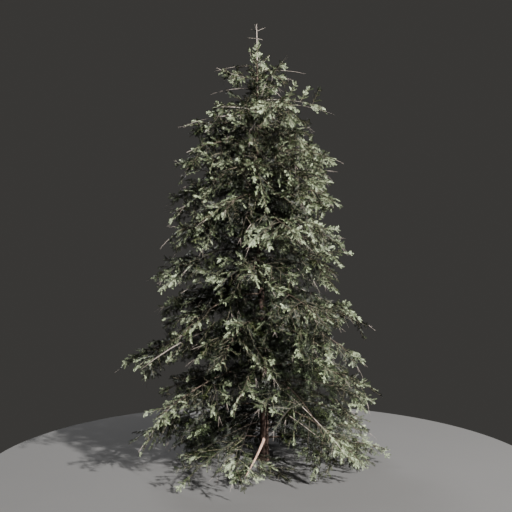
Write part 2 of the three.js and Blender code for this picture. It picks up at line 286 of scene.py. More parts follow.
# Bare limbs: height on the trunk, turn in degrees, length, rise at the start, fall to the tip, radius at the
# start, and whether a few fans are left at the tip.
BARE_LIMBS = (
    (7.22, 176, 0.80, 0.10, 0.16, 0.005, False),
    (7.12, -6, 0.90, 0.12, 0.17, 0.005, False),
    (6.80, 184, 0.86, 0.10, 0.20, 0.005, False),
    (6.95, 62, 0.66, 0.12, 0.16, 0.005, False),
    (6.70, 118, 0.85, 0.10, 0.20, 0.005, False),
    (6.50, -24, 1.50, 0.04, 0.36, 0.004, False),
    (6.28, 197, 1.34, 0.10, 0.36, 0.007, False),
    (6.05, 95, 1.35, 0.08, 0.34, 0.007, False),
    (0.98, -141, 0.86, -0.36, 0.02, 0.005, False),
    (1.50, -55, 2.30, -0.21, 0.47, 0.013, True),
    (1.05, -48, 1.75, -0.16, 0.30, 0.010, False),
    (2.55, 181, 2.22, 0.00, 0.90, 0.020, False),
    (1.60, 128, 2.20, -0.15, 0.50, 0.012, True),
    (3.30, 40, 1.90, -0.05, 0.50, 0.011, True),
)
BARE_TAPER = 0.35
LIMB_FANS = (0.72, 0.97)
# The topmost of them still carry needles along their first stretch.
NEEDLED_ABOVE = 7.0
NEEDLED_SHARE = 0.5
# Thin bare tips at the ends of some boughs and branchlets, which may pass the box of the solids a little.
BARE_TIP_SEED = 7
BARE_TIP_SHARE = 0.4
BARE_TIP_LENGTH = (0.08, 0.24)
BARE_TIP_SPLAY = 0.4
BARE_TIP_LIFT = 0.25
BARE_TIP_SAG = 0.12
BARE_TIP_RADIUS = 0.0018
BARE_TIP_THICKENING = 0.004
PAST_SOLIDS = 0.12

# Short twigs that rise from the upper side of the boughs.
UPPER_SPACING = 0.13
UPPER_SHARES = (0.1, 0.88)
UPPER_ANGLE = (20, 70)
UPPER_LENGTH = (0.15, 0.27)
UPPER_RISE = (0.3, 0.9)
UPPER_SAG = 0.35
UPPER_ROLL = 0.5

# The space of a bough: nearer it than any other with heights counted twice, off the trunk and the ground.
# Stems that leave it are shrunk in steps, and tested at some shares of their length.
SPACE_MARGIN = 0.012
FLATNESS = 2
GROUND_CLEARANCE = 0.025
BOUGH_SAMPLES = 14
POINTS_AT_A_TIME = 4000
SHRINK = 0.87
BRANCHLET_FIT = {"shortest": 0.15, "steps": 13, "samples": (0.25, 0.5, 0.75, 1.0)}
TWIG_FIT = {"shortest": 0.07, "steps": 8, "samples": (0.6, 1.0)}

# Twigs on both sides of the branchlets and round the ends of the boughs.
TWIG_START = 0.14
TWIG_END = 0.9
TIP_END = 0.92
INNER_TWIG_START = 0.12
END_LENGTH = 0.25
END_SHARES = (0.1, 0.9)
TWIG_ANGLE = (math.radians(56), math.radians(38))
TWIG_ANGLE_SPREAD = 0.09
TWIG_SAG = 0.15
TWIG_LENGTH = 1.15
TWIG_LENGTH_SPREAD = 0.22
TWIG_DIP = (0.16, 0.28)
TWIG_ROLL = 0.7
# Last shoots in pairs at each year's node of a twig. Those further back are longer.
FIRST_NODE = 0.08
NODE_STEP = 0.1
NODE_FROM_ROOT = 0.03
MOST_NODES = 4
SHOOT_LENGTH = 0.85
SHOOT_GROWTH = 0.1
SHOOT_LENGTH_SPREAD = 0.25
SHOOT_ANGLE = math.radians(45)
SHOOT_ANGLE_SPREAD = 0.1
SHOOT_DIP = 0.24
SHOOT_ROLL = 0.75
SHOOT_SAG = 0.05
# Radii of the stems at the root and the tip. A branchlet's root thickens with its length.
BRANCHLET_RADII = (0.0025, 0.002)
BRANCHLET_THICKENING = 0.0035
TWIG_RADII = (0.003, 0.002)
SHOOT_RADII = (0.0024, 0.0016)
BLUNT_END = 0.25

# Needles stand to both sides of their shoot, with some above, and close round its tip over the last stretch.
# They start at these shares of twigs, last shoots and boughs, and are sparser on twigs and older wood.
NEEDLES_FROM = {"twigs": 0.12, "last_shoots": 0.15, "boughs": 0.3}
TWIG_THINNING = 1.2
OLD_WOOD_THINNING = 1.3
FEWEST_NEEDLES = 4
CLOSING_STRETCH = 0.05
CLOSING_CURVE = 0.7
# Their lean off the shoot, in degrees at the tip and what it gains behind it, with its spread in radians.
LEAN_AT_TIP = 24
LEAN_GAIN = 42
LEAN_SPREAD = 0.06
SIDE_LIFT = (0.12, 0.05)
UPPER_LIFT = (0.7, 1.45)
NEEDLE_TWIST = 0.08
# Shares of a needle's length above the shoot and at its tip, and the least share and the range of its sizes.
UPPER_NEEDLE = 0.62
TIP_NEEDLE = 0.8
TIP_NEEDLE_GAIN = 0.2
LENGTH_RANGE = (0.9, 0.16)
WIDTH_RANGE = (0.9, 0.2)
NEEDLE_FOOT = 0.55
NEEDLE_END = 0.95
LOWEST_NEEDLE = 0.004
# Whorls whose needles are one piece.
NEEDLE_GROUPS = ((0,), (1,), (2,), (3,), (4,), (5,), (6, 7), (8, 9, 10, 11, 12))

# The crown's radius, by which sprays count as inner or outer: at the ground and less for each metre up, and
# near the foot a smaller one that grows. Light comes in through the top, so from two heights on the middle
# counts as outer too: from the first up to a limit, from the second in full.
CROWN_RADIUS = 2.55
CROWN_TAPER = 0.25
FOOT_RADIUS = 1.5
FOOT_SPREAD = 1.4
UPPER_FROM = 4.2
UPPER_DEPTH = 1.6
UPPER_MOST = 0.72
TOP_FROM = 5.2
TOP_DEPTH = 2.2

# Tints from deep inside to the outside by steps of the bloom, which grows outwards, with some sprays olive.
# The steps are partly the real bloom, and partly painted light outside and painted shade within.
TINTS = ("silver", "sage", "grey_green", "green", "olive", "deep")
OLIVE = TINTS.index("olive")
TINTS_OUTWARD = (5, 3, 2, 1, 0)
BLOOM_STEPS = (0.34, 0.62, 0.82, 0.94)
BLOOM_GAIN = 1.4
BLOOM_SHIFT = -0.28
BLOOM_SPREAD = 0.36
OLIVE_SHARE = 0.13
# The last years' growth at the tip of a twig has the most bloom: each length behind it is a tint darker.
YEARS_GROWTH = 0.14
GROWTH_SPREAD = 0.03
SHOOT_AGE_SPREAD = 0.09
ONE_DARKER = (1, 3, 5, 5, 4, 5)
# Deep inside, where only their shade shows, needles are fewer and larger, and twig bark is painted shade.
INNER_SHARE = 0.48
INNER_THINNING = 1.95
INNER_SCALE = 1.5
PAINTED_SHADE_SHARE = 0.62
# The bloom changes from needle to needle, every 2 mm or so: too fine to show, so it is drawn at 40 mm.
NEEDLE_MOTTLE_MM = 40
NEEDLE_SHADE = 0.33

FLOOR_RADIUS = 5.0
FLOOR_SIDES = 96
# The roller's grain is too fine to show, so the tone of the paint changes over metres.
FLOOR_MOTTLE_MM = 2500
# Lights: name, place, aim, width, watts and colour. The key is a low sun from the front right, and the back
# light shows the far side.
LIGHTS = (
    ("key", KEY_LIGHT, (0, 0, 3.6), 1.0, 79000, (1.0, 0.99, 0.975)),
    ("fill", (-11, -12, 8), (0, 0, 4), 9.0, 20, (0.93, 0.96, 1.0)),
    ("back", (-12.0, 30.0, 22.0), (0, 0, 3.6), 9.0, 9500, (0.97, 0.98, 1.0)),
)
# The camera looks at the front of the tree, level but for half a degree.
CAMERA_PLACE = (-0.147, -13.05, 3.62)
CAMERA_TILT = math.radians(90.48)
LENS_MM = 50
FILM_MM = 36


def linear(hex_code):
    """Scene-linear red, green and blue of an sRGB hex value."""
    parts = [int(hex_code[i : i + 2], 16) / 255 for i in (1, 3, 5)]
    return [p / 12.92 if p <= 0.04045 else ((p + 0.055) / 1.055) ** 2.4 for p in parts]


def scatter(a, b):
    """The source's scatter: a number from -1 to 1 for each pair of numbers."""
    x = np.sin(a * 12.9898 + b * 78.233) * 43758.5453
    return 2 * (x - np.floor(x)) - 1


def unit(vectors):
    """The vectors at length 1."""
    return vectors / np.maximum(np.linalg.norm(vectors, axis=-1, keepdims=True), 1e-9)


def column(values):
    """A list of numbers that can multiply a list of vectors."""
    return np.asarray(values)[..., None]


def columns(rows):
    """The columns of a table, each an array."""
    return [np.array(values) for values in zip(*rows)]


def turns_round(sides):
    """Directions evenly round a circle, in radians."""
    return np.arange(sides) * 2 * math.pi / sides


def trunk_centre(height):
    """The middle of the trunk at each height."""
    share = np.asarray(height) / TREE_HEIGHT
    swing = np.sin(share * TRUNK_SWINGS * 2 * math.pi)
    across = TRUNK_LEAN * share + TRUNK_WOBBLE[0] * swing
    return np.stack([across, TRUNK_WOBBLE[1] * swing, share * TREE_HEIGHT], axis=-1)


def trunk_radius(height):
    """The trunk's radius above its flare at each height."""
    left = np.clip(1 - np.asarray(height) / TREE_HEIGHT, 0, 1) ** TRUNK_TAPER
    return LEADER_TIP_RADIUS + (TRUNK_RADIUS - LEADER_TIP_RADIUS) * left


class Shoots:
    """Stems of one order, each a start, a run, a bow that bends it, and a normal of the plane it forks in."""

    def __init__(self, **lists):
        self.__dict__.update(lists)

    def __len__(self):
        return len(self.start)

    def pick(self, which):
        """The stems that a mask or a list of places names."""
        return Shoots(**{name: values[which] for name, values in vars(self).items()})

    def at(self, share):
        """A point on each stem at a share of its length."""
        share = column(share)
        return self.start + self.run * share + self.bow * share**2

    def heading(self, share):
        """The direction of each stem at a share of its length."""
        return unit(self.run + 2 * self.bow * column(share))

    def lengths(self):
        """The length of each stem along its run."""
        return np.linalg.norm(self.run, axis=-1)


def joined(*groups):
    """Several groups of stems as one, with what all of them have."""
    names = [name for name in vars(groups[0]) if all(name in vars(group) for group in groups)]
    return Shoots(**{name: np.concatenate([vars(group)[name] for group in groups]) for name in names})


def grow_boughs():
    """Every bough of the source's rule, with its whorl and key."""
    rows = []
    for w, (height, reach, drop, count, turn) in enumerate(WHORLS):
        for n in range(count):
            key = w * 10 + n
            own_turn = TURN_SPREAD * scatter(key, TRAIT["turn"])
            own_bend = SIDE_BEND * scatter(key, TRAIT["bend"])
            own_turn, own_bend, slope = BOUGH_PATHS.get((w, n), (own_turn, own_bend, START_SLOPE))
            angle = math.radians(turn + 360 * n / count + own_turn)
            spread = TOP_HEIGHT_SPREAD if reach < SHORT_REACH else HEIGHT_SPREAD
            rise = spread * scatter(key, TRAIT["height"])
            full = reach * (1 + REACH_SPREAD * scatter(key, TRAIT["reach"]))
            fall = drop
            if (w, n) in OUTLINE_BOUGHS:
                full, fall = OUTLINE_BOUGHS[w, n]
                rise = 0
            if w < LIMBED_WHORLS:
                rise = 0
            out = np.array([math.cos(angle), math.sin(angle), 0])
            across = np.array([-out[1], out[0], 0])
            start = trunk_centre(height + rise)
            middle = out * full / 2 + across * full * own_bend + UP * full / 2 * slope
            end = out * full - UP * fall
            base, tip = BOUGH_RADII.get((w, n), (full / BOUGH_SLENDERNESS, BOUGH_TIP_RADIUS))
            rows.append((start, 2 * middle, end - 2 * middle, UP, full, w, key, base, tip))
    names = ("start", "run", "bow", "flat", "reach", "whorl", "key", "base", "tip")
    boughs = Shoots(**dict(zip(names, columns(rows))))
    boughs.bough = np.arange(len(boughs))
    return boughs


def in_own_space(boughs, points, own):
    """Whether each point lies in the space of its own bough, off the trunk and above the ground."""
    shares = np.linspace(0, 1, BOUGH_SAMPLES + 1)
    stretch = np.array([1, 1, FLATNESS])
    samples = (np.stack([boughs.at(share) for share in shares], axis=1) * stretch).reshape(-1, 3)
    clear = np.empty(len(points), dtype=bool)
    for first in range(0, len(points), POINTS_AT_A_TIME):
        here = slice(first, first + POINTS_AT_A_TIME)
        part = points[here] * stretch
        square = (part**2).sum(1)[:, None] + (samples**2).sum(1)[None] - 2 * part @ samples.T
        nearest = np.sqrt(np.maximum(square, 0)).reshape(len(part), len(boughs), -1).min(axis=2)
        rows = np.arange(len(part))
        mine = nearest[rows, own[here]]
        nearest[rows, own[here]] = np.inf
        clear[here] = nearest.min(axis=1) > mine + 2 * SPACE_MARGIN
    return clear & off_trunk_and_ground(points)


def off_trunk_and_ground(points):
    """Whether each point keeps clear of the trunk and the ground."""
    height = points[:, 2]
    beside = np.linalg.norm(points[:, :2] - trunk_centre(height)[:, :2], axis=1)
    outside = (beside > trunk_radius(height) * (1 + FLARE) + SPACE_MARGIN) | (height > TREE_HEIGHT)
    return outside & (height >= GROUND_CLEARANCE)


def offshoots(mothers, of, share, side, angle, length, dip, sag, roll, level):
    """Stems that leave their mothers at a share of the length, to a side, rolled about their own run."""
    mother = mothers.pick(of)
    ahead = mother.heading(share)
    flat = unit(mother.flat - ahead * column((mother.flat * ahead).sum(-1)))
    out = ahead * column(np.cos(angle)) + np.cross(ahead, flat) * column(side * np.sin(angle))
    out = unit(out - UP * column(dip))
    upright = np.broadcast_to(UP, out.shape) if level else flat
    beside = unit(np.cross(out, upright))
    above = np.cross(beside, out)
    return Shoots(
        start=mother.at(share),
        run=out * column(length),
        bow=-UP * column(sag * length),
        flat=above * column(np.cos(roll)) - beside * column(np.sin(roll)),
        bough=mother.bough,
        whorl=mother.whorl,
        share=share,
    )


def stems_on_trunk(height, turn, rise, length, fall, roll):
    """Stems that leave the trunk at a height, in a direction, rolled about their own run."""
    out = unit(np.stack([np.cos(turn), np.sin(turn), rise], axis=-1))
    beside = unit(np.cross(out, UP))
    whorl_heights = np.array([row[0] for row in WHORLS])
    return Shoots(
        start=trunk_centre(height),
        run=out * column(length),
        bow=-UP * column(fall),
        flat=np.cross(beside, out) * column(np.cos(roll)) + beside * column(np.sin(roll)),
        bough=np.full(len(height), -1),
        whorl=np.abs(height[:, None] - whorl_heights[None]).argmin(axis=1),
        share=np.zeros(len(height)),
    )


def shrunk_into_space(boughs, shoots, shortest, steps, samples):
    """The shoots at the longest of their shrunk lengths that stays in the space of their bough."""
    factor = np.zeros(len(shoots))
    length = shoots.lengths()
    for step in range(steps):
        waiting = np.flatnonzero((factor == 0) & (length * SHRINK**step >= shortest))
        if not len(waiting):
            break
        tried = shoots.pick(waiting)
        tried.run = tried.run * SHRINK**step
        tried.bow = tried.bow * SHRINK**step
        clear = np.ones(len(tried), dtype=bool)
        for sample in samples:
            clear &= in_own_space(boughs, tried.at(sample), tried.bough)
        factor[waiting[clear]] = SHRINK**step
    kept = shoots.pick(factor > 0)
    kept.run = kept.run * column(factor[factor > 0])
    kept.bow = kept.bow * column(factor[factor > 0])
    return kept


def in_gaps(points):
    """Whether each point lies in one of the gaps in the sprays."""
    inside = np.zeros(len(points), dtype=bool)
    for towards, gaps in GAPS.items():
        for *start, radius in gaps:
            way = unit(np.array(towards) - start)
            beyond = points - start
            along = beyond @ way
            inside |= (along > 0) & (np.linalg.norm(beyond - column(along) * way, axis=1) < radius)
    return inside


def out_of_gaps(stems):
    """The stems that keep out of the gaps."""
    return stems.pick(~np.any([in_gaps(stems.at(share)) for share in GAP_SAMPLES], axis=0))


def bare_there(boughs, of, share):
    """Whether each place on the boughs is in a stretch without needles."""
    bare = np.zeros(len(of), dtype=bool)
    for (whorl, n), (first, last) in BARE_STRETCHES.items():
        bare |= (boughs.key[of] == whorl * 10 + n) & (share >= first) & (share <= last)
    return bare


def grow_branchlets(boughs):
    """The source's staggered pairs of branchlets and a finer pair between each two."""
    rows = []
    for b in range(len(boughs)):
        key, reach = boughs.key[b], boughs.reach[b]
        first = FOLIAGE_START[0 if boughs.whorl[b] < LIMBED_WHORLS else 1]
        pairs = max(FEWEST_PAIRS, round((TIP_START - first) * reach / BRANCHLET_SPACING))
        for half in range(2 * pairs):
            n, finer = half // 2, half % 2
            for side in (-1, 1):

                def trait(name):
                    """This branchlet's own number for a trait, from -1 to 1."""
                    return scatter(key, TRAIT[name] + 2 * n + side + FINER_TRAIT * finer)

                along = (half / 2 + SIDE_STAGGER * (1 + side) / 2) / pairs
                share = first + (TIP_START + PAST_TIP_START - first) * along
                swell = math.sin(math.pi * (SWELL[0] + (SWELL[1] - SWELL[0]) * min(along, 1)))
                length = BRANCHLET_LENGTH * reach * swell * (1 + LENGTH_SPREAD * trait("length"))
                dip = BRANCHLET_DIP + DIP_SPREAD * trait("dip")
                turned = trait("roll") + ROLL_BY_SIDE * side
                roll = BRANCHLET_ROLL * np.sign(turned)
                if finer:
                    length *= FINER_BRANCHLET
                    dip = FINER_DIP + FINER_DIP_SPREAD * trait("dip")
                    roll = -side * BRANCHLET_ROLL * (0.5 + 0.5 * abs(turned))
                rows.append((b, share, side, length, dip, roll))
    of, share, side, length, dip, roll = columns(rows)
    shoots = offshoots(boughs, of, share, side, BRANCHLET_ANGLE, length, dip, BRANCHLET_SAG, roll, level=True)
    return shrunk_into_space(boughs, shoots.pick(~bare_there(boughs, of, share)), **BRANCHLET_FIT)


def grow_trunk_shoots(count, lowest, highest, at_tip, growth, longest, rise, sag, seed):
    """Shoots on the trunk between the whorls, all round, which close the middle of the crown."""
    n = np.arange(count)
    height = lowest + (highest - lowest) * ((n + 0.5) / count) ** TRUNK_SHOOT_CROWDING
    turn = np.radians(TRUNK_SHOOT_TURN * n + TRUNK_SHOOT_SPREAD["turn"] * scatter(n, seed))
    length = np.minimum(at_tip + growth * (TREE_HEIGHT - height), longest)
    length = length * (1 + TRUNK_SHOOT_SPREAD["length"] * scatter(n, seed + 1))
    rise = rise * (height / TREE_HEIGHT) ** 2 + TRUNK_SHOOT_SPREAD["rise"] * scatter(n, seed + 2)
    roll = TRUNK_SHOOT_SPREAD["roll"] * scatter(n, seed + 3)
    shoots = stems_on_trunk(height, turn, rise, length, sag * length * (1 - height / TREE_HEIGHT), roll)
    off_front = np.abs((np.degrees(turn) - OPEN_FRONT["turn"] + 180) % 360 - 180) > OPEN_FRONT["half"]
    high_enough = shoots.at(1)[:, 2] > LOWEST_SHOOT_TIP
    return shoots.pick(high_enough & (off_front | (height > OPEN_FRONT["below"])))


def end_twigs(stems, length):
    """The last stretch of each stem as a twig of its own."""
    start = stems.at(np.clip(1 - length / stems.lengths(), *END_SHARES))
    return Shoots(
        start=start,
        run=stems.at(1) - start,
        bow=np.zeros_like(start),
        flat=stems.flat,
        bough=stems.bough,
        whorl=stems.whorl,
        share=np.ones(len(stems)),
    )


def first_stretch(stems, share):
    """The first stretch of each stem as a twig."""
    return Shoots(**{**vars(stems), "run": stems.run * share, "bow": stems.bow * share**2})


def fan_width(length, share):
    """How far the twigs reach to the side of a branchlet, as the solids' blades do."""
    slim = np.clip(length / FULL_FAN_LENGTH, SLIMMEST_FAN, 1)
    return (FAN_REACH + FAN_GROWTH * length) * (1 - FAN_TAPER * share) * slim


def places_along(stems, from_share, to_share, spacing):
    """Staggered places on both sides of each stem: the stem, the share and the side of each."""
    of, share, side = [], [], []
    for n, length in enumerate(stems.lengths()):
        count = max(2, round((to_share - from_share) * length / spacing * 2))
        steps = (np.arange(count) + 0.5) / count
        of.append(np.full(count, n))
        share.append(from_share + (to_share - from_share) * steps)
        side.append(np.where(np.arange(count) % 2 == 0, 1, -1))
    return np.concatenate(of), np.concatenate(share), np.concatenate(side)


def grow_twigs(boughs, stems, from_share, to_share, blade_from, spacing, rng):
    """Twigs on both sides of the stems, within the width of the solids' blades."""
    of, share, side = places_along(stems, from_share, to_share, spacing)
    count = len(of)
    blade = stems.lengths()[of] * (1 - blade_from)
    along = (share - blade_from) / (1 - blade_from)
    angle = TWIG_ANGLE[0] + (TWIG_ANGLE[1] - TWIG_ANGLE[0]) * along + rng.normal(0, TWIG_ANGLE_SPREAD, count)
    varied = 1 + TWIG_LENGTH_SPREAD * rng.uniform(-1, 1, count)
    length = TWIG_LENGTH * fan_width(blade, along) / np.sin(angle) * varied
    roll = rng.normal(0, TWIG_ROLL, count)
    dip = rng.normal(*TWIG_DIP, count)
    twigs = offshoots(stems, of, share, side, angle, length, dip, TWIG_SAG, roll, level=False)
    if boughs is None:
        return twigs.pick(off_trunk_and_ground(twigs.at(1)))
    return shrunk_into_space(boughs, twigs, **TWIG_FIT)


def grow_upper_twigs(boughs, rng):
    """Twigs that rise from the upper side of the boughs and arch over."""
    of, share, side = places_along(boughs, *UPPER_SHARES, 2 * UPPER_SPACING)
    count = len(of)
    angle = np.radians(rng.uniform(*UPPER_ANGLE, count))
    length = rng.uniform(*UPPER_LENGTH, count) * np.minimum(1, boughs.reach[of])
    dip = -rng.uniform(*UPPER_RISE, count)
    roll = rng.normal(0, UPPER_ROLL, count)
    twigs = offshoots(boughs, of, share, side, angle, length, dip, UPPER_SAG, roll, level=True)
    return twigs.pick(~bare_there(boughs, of, share))


def grow_placed_twigs(boughs):
    """The twigs that are placed one by one."""
    whorl, n, share, side, angle, length, dip = columns(PLACED_TWIGS)
    of = np.array([int(np.flatnonzero(boughs.key == key)[0]) for key in whorl * 10 + n])
    roll = np.where(dip < 0, STANDING_ROLL, SPREAD_ROLL) * side
    return offshoots(boughs, of, share, side, np.radians(angle), length, dip, 0.0, roll, level=True)


def grow_bare_limbs():
    """Limbs and twigs that have lost their needles, and those of them that keep fans at the tip."""
    height, turn, length, rise, fall, radius, fans = columns(BARE_LIMBS)
    limbs = stems_on_trunk(height, np.radians(turn), rise, length, fall, roll=np.zeros(len(height)))
    limbs.base = radius
    return limbs, limbs.pick(fans)


def grow_bare_tips(stems):
    """Thin bare tips, often forked, that stand out past the sprays."""
    some = scatter(np.arange(len(stems)), BARE_TIP_SEED) > 1 - 2 * BARE_TIP_SHARE
    ends = stems.pick(np.repeat(np.flatnonzero(some), 2))
    n = np.arange(len(ends))
    shortest, longest = BARE_TIP_LENGTH
    length = shortest + (longest - shortest) * (0.5 + 0.5 * scatter(n, BARE_TIP_SEED + 1))
    ahead = ends.heading(1)
    splay = BARE_TIP_SPLAY * np.where(n % 2 == 0, 1, -1) * (0.5 + 0.5 * scatter(n, BARE_TIP_SEED + 2))
    lift = BARE_TIP_LIFT * scatter(n, BARE_TIP_SEED + 3)
    out = unit(ahead + np.cross(ahead, ends.flat) * column(splay) + ends.flat * column(lift))
    tips = Shoots(
        start=ends.at(1),
        run=out * column(length),
        bow=-UP * column(BARE_TIP_SAG * length),
        flat=ends.flat,
        base=BARE_TIP_RADIUS + BARE_TIP_THICKENING * length,
    )
    end = tips.at(1)
    low, high = (np.array(corner) for corner in CAD_BOX)
    inside = ((end > low - PAST_SOLIDS) & (end < high + PAST_SOLIDS)).all(axis=1)
    return tips.pick(inside & (end[:, 2] > GROUND_CLEARANCE))


def grow_last_shoots(twigs, shoot_length, rng):
    """Pairs of shoots at each year's node of a twig, counted back from its tip."""
    lengths = twigs.lengths()
    rows = []
    for node in range(MOST_NODES):
        back = FIRST_NODE + NODE_STEP * node
        there = np.flatnonzero(lengths > back + NODE_FROM_ROOT)
        grown_to = shoot_length * (SHOOT_LENGTH + SHOOT_GROWTH * node)
        for side in (-1, 1):
            rows.append(np.broadcast_arrays(there, 1 - back / lengths[there], side, grown_to, back))
    of, share, side, length, from_tip = (np.concatenate(values) for values in zip(*rows))
    length = length * (1 + SHOOT_LENGTH_SPREAD * rng.uniform(-1, 1, len(of)))
    angle = SHOOT_ANGLE + rng.normal(0, SHOOT_ANGLE_SPREAD, len(of))
    dip = rng.normal(0, SHOOT_DIP, len(of))
    roll = rng.normal(0, SHOOT_ROLL, len(of))
    shoots = offshoots(twigs, of, share, side, angle, length, dip, SHOOT_SAG, roll, level=False)
    shoots.twig = of
    shoots.from_tip = from_tip
    return shoots.pick(off_trunk_and_ground(shoots.at(1)))


@functools.lru_cache(maxsize=2)
def grown(twig_spacing, shoot_length):
    """The whole tree's stems by order: boughs, branchlets, twigs, last shoots, and those that are bare."""
    rng = np.random.default_rng(SEED)
    boughs = grow_boughs()
    branchlets = grow_branchlets(boughs)
    inner = joined(*[grow_trunk_shoots(*row) for row in INNER_SHOOTS])
    side_twigs = grow_twigs(boughs, branchlets, TWIG_START, TWIG_END, 0.0, twig_spacing, rng)
    tip_twigs = grow_twigs(boughs, boughs, TIP_START, TIP_END, TIP_START, twig_spacing, rng)
    inner_twigs = grow_twigs(None, inner, INNER_TWIG_START, TWIG_END, 0.0, twig_spacing, rng)
    branchlets = out_of_gaps(joined(branchlets, inner))
    upper_twigs = grow_upper_twigs(boughs, rng)
    trunk_twigs = joined(*[grow_trunk_shoots(*row) for row in TRUNK_TWIGS])
    bare, with_fans = grow_bare_limbs()
    limb_fans = grow_twigs(None, with_fans, *LIMB_FANS, LIMB_FANS[0], twig_spacing / 2, rng)
    needled = first_stretch(bare.pick(bare.start[:, 2] > NEEDLED_ABOVE), NEEDLED_SHARE)
    ends = joined(*[end_twigs(stems, END_LENGTH) for stems in (branchlets, boughs, with_fans)])
    twigs = joined(side_twigs, tip_twigs, inner_twigs, upper_twigs, trunk_twigs, limb_fans, needled, ends)
    twigs = joined(out_of_gaps(twigs), grow_placed_twigs(boughs))
    last = out_of_gaps(grow_last_shoots(twigs, shoot_length, rng))
    bare = joined(bare, grow_bare_tips(joined(branchlets, boughs)))
    bare.tip = bare.base * BARE_TAPER
    return boughs, branchlets, twigs, last, bare


def ring_quads(count, rows, sides):
    """Quads between the rings of points of several tubes."""
    tube = (np.arange(count) * rows * sides)[:, None, None]
    first = tube + (np.arange(rows - 1) * sides)[None, :, None]
    here = first + np.arange(sides)
    beside = first + np.roll(np.arange(sides), -1)
    return np.stack([here, beside, beside + sides, here + sides], axis=-1).reshape(-1, 4)


def tubes(stems, radii, rows, sides, roughness=None):
    """Points and quads of a tube on each stem, with the radii of its root and its blunt tip."""
    base, tip = radii
    points = np.empty((len(stems), rows, sides, 3))
    for r, share in enumerate(np.linspace(0, 1, rows)):
        ahead = stems.heading(share)
        beside = unit(np.cross(ahead, stems.flat))
        above = np.cross(beside, ahead)
        radius = base + (tip - base) * share
        if r == rows - 1:
            radius = radius * BLUNT_END
        for s, turn in enumerate(turns_round(sides)):
            grown_out = radius if roughness is None else radius * roughness(r, s)
            around = beside * math.cos(turn) + above * math.sin(turn)
            points[:, r, s] = stems.at(share) + around * column(grown_out)
    return points.reshape(-1, 3), ring_quads(len(stems), rows, sides)


def mesh_object(name, points, quads, materials, kinds=None, smooth=True):
    """An object made of quads, each of the material that its kind names."""
    mesh = bpy.data.meshes.new(name)
    mesh.vertices.add(len(points))
    mesh.vertices.foreach_set("co", np.ascontiguousarray(points, dtype=np.float32).ravel())
    mesh.loops.add(quads.size)
    mesh.loops.foreach_set("vertex_index", np.ascontiguousarray(quads, dtype=np.int32).ravel())
    mesh.polygons.add(len(quads))
    mesh.polygons.foreach_set("loop_start", np.arange(0, quads.size, 4, dtype=np.int32))
    for material in materials:
        mesh.materials.append(material)
    if kinds is not None:
        mesh.polygons.foreach_set("material_index", np.ascontiguousarray(kinds, dtype=np.int32))
    mesh.polygons.foreach_set("use_smooth", np.full(len(quads), smooth))
    mesh.update(calc_edges=True)
    obj = bpy.data.objects.new(name, mesh)
    bpy.context.scene.collection.objects.link(obj)
    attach(obj, "root")
    return obj


def add_node(tree, kind, settings=None, inputs=None, links=None):
    """A node of a kind, with its settings, its input values and what each input is linked to."""
    node = tree.nodes.new(kind)
    for name, value in (settings or {}).items():
        setattr(node, name, value)
    for name, value in (inputs or {}).items():
        node.inputs[name].default_value = value
    for name, source in (links or {}).items():
        tree.links.new(source, node.inputs[name])
    return node


def plain_material(name, roughness, ior):
    """A new material, its tree, its shader and the place on the object that its patterns go by."""
    material = bpy.data.materials.new(name)
    material.use_nodes = True
    tree = material.node_tree
    shader = tree.nodes["Principled BSDF"]
    shader.inputs["Roughness"].default_value = roughness
    shader.inputs["IOR"].default_value = ior
    return material, tree, shader, add_node(tree, "ShaderNodeTexCoord").outputs["Object"]


def rgba(colour):
    """A colour with full alpha."""
    return (*colour, 1.0)


def mottled(tree, place, spot_mm, dark, light, detail, stops):
    """Two colours in spots of a size in millimetres, which run into each other between two stops."""
    inputs = {"Scale": 1 / (spot_mm * MILLIMETRE), "Detail": detail}
    spots = add_node(tree, "ShaderNodeTexNoise", inputs=inputs, links={"Vector": place})
    ramp = add_node(tree, "ShaderNodeValToRGB", links={"Fac": spots.outputs["Fac"]})
    for element, stop, colour in zip(ramp.color_ramp.elements, stops, (dark, light)):
        element.position = stop
        element.color = rgba(colour)
    return ramp.outputs["Color"]


def bark_material(name, dark, light, warm, grain_mm):
    """Living bark of a young fir, thin with lenticels: matt, mottled and a little rough to the eye."""
    material, tree, shader, place = plain_material(name, roughness=0.82, ior=1.5)
    mottle = mottled(tree, place, 4 * grain_mm, dark, light, detail=4.0, stops=(0.36, 0.66))
    inputs = {"Scale": 1 / (grain_mm * MILLIMETRE), "Detail": 6.0}
    grain = add_node(tree, "ShaderNodeTexNoise", inputs=inputs, links={"Vector": place}).outputs["Fac"]
    warmed = add_node(
        tree, "ShaderNodeMix", {"data_type": "RGBA"}, {"B": rgba(warm)}, {"Factor": grain, "A": mottle}
    )
    bump = add_node(tree, "ShaderNodeBump", None, {"Strength": 0.5, "Distance": 0.004}, {"Height": grain})
    tree.links.new(warmed.outputs["Result"], shader.inputs["Base Color"])
    tree.links.new(bump.outputs["Normal"], shader.inputs["Normal"])
    return material


def needle_material(name, colour):
    """Waxy needles: satin, each tint mottled from needle to needle, as the bloom of wax is."""
    material, tree, shader, place = plain_material(name, roughness=0.6, ior=1.4)
    shade = [part * NEEDLE_SHADE for part in colour]
    bloom = mottled(tree, place, NEEDLE_MOTTLE_MM, shade, colour, detail=2.0, stops=(0.38, 0.6))
    tree.links.new(bloom, shader.inputs["Base Color"])
    return material


def floor_material():
    """Painted studio floor, rolled and matt: pale and even to the eye."""
    material, tree, shader, place = plain_material("matt_studio_floor", roughness=0.9, ior=1.45)
    dark, light = linear("#504f4e"), linear("#545352")
    paint = mottled(tree, place, FLOOR_MOTTLE_MM, dark, light, detail=3.0, stops=(0.0, 1.0))
    tree.links.new(paint, shader.inputs["Base Color"])
    return material


def length_setting(name, description, default):
    """A length that the panel sets."""
    return bpy.props.FloatProperty(name=name, description=description, default=default, unit="LENGTH")


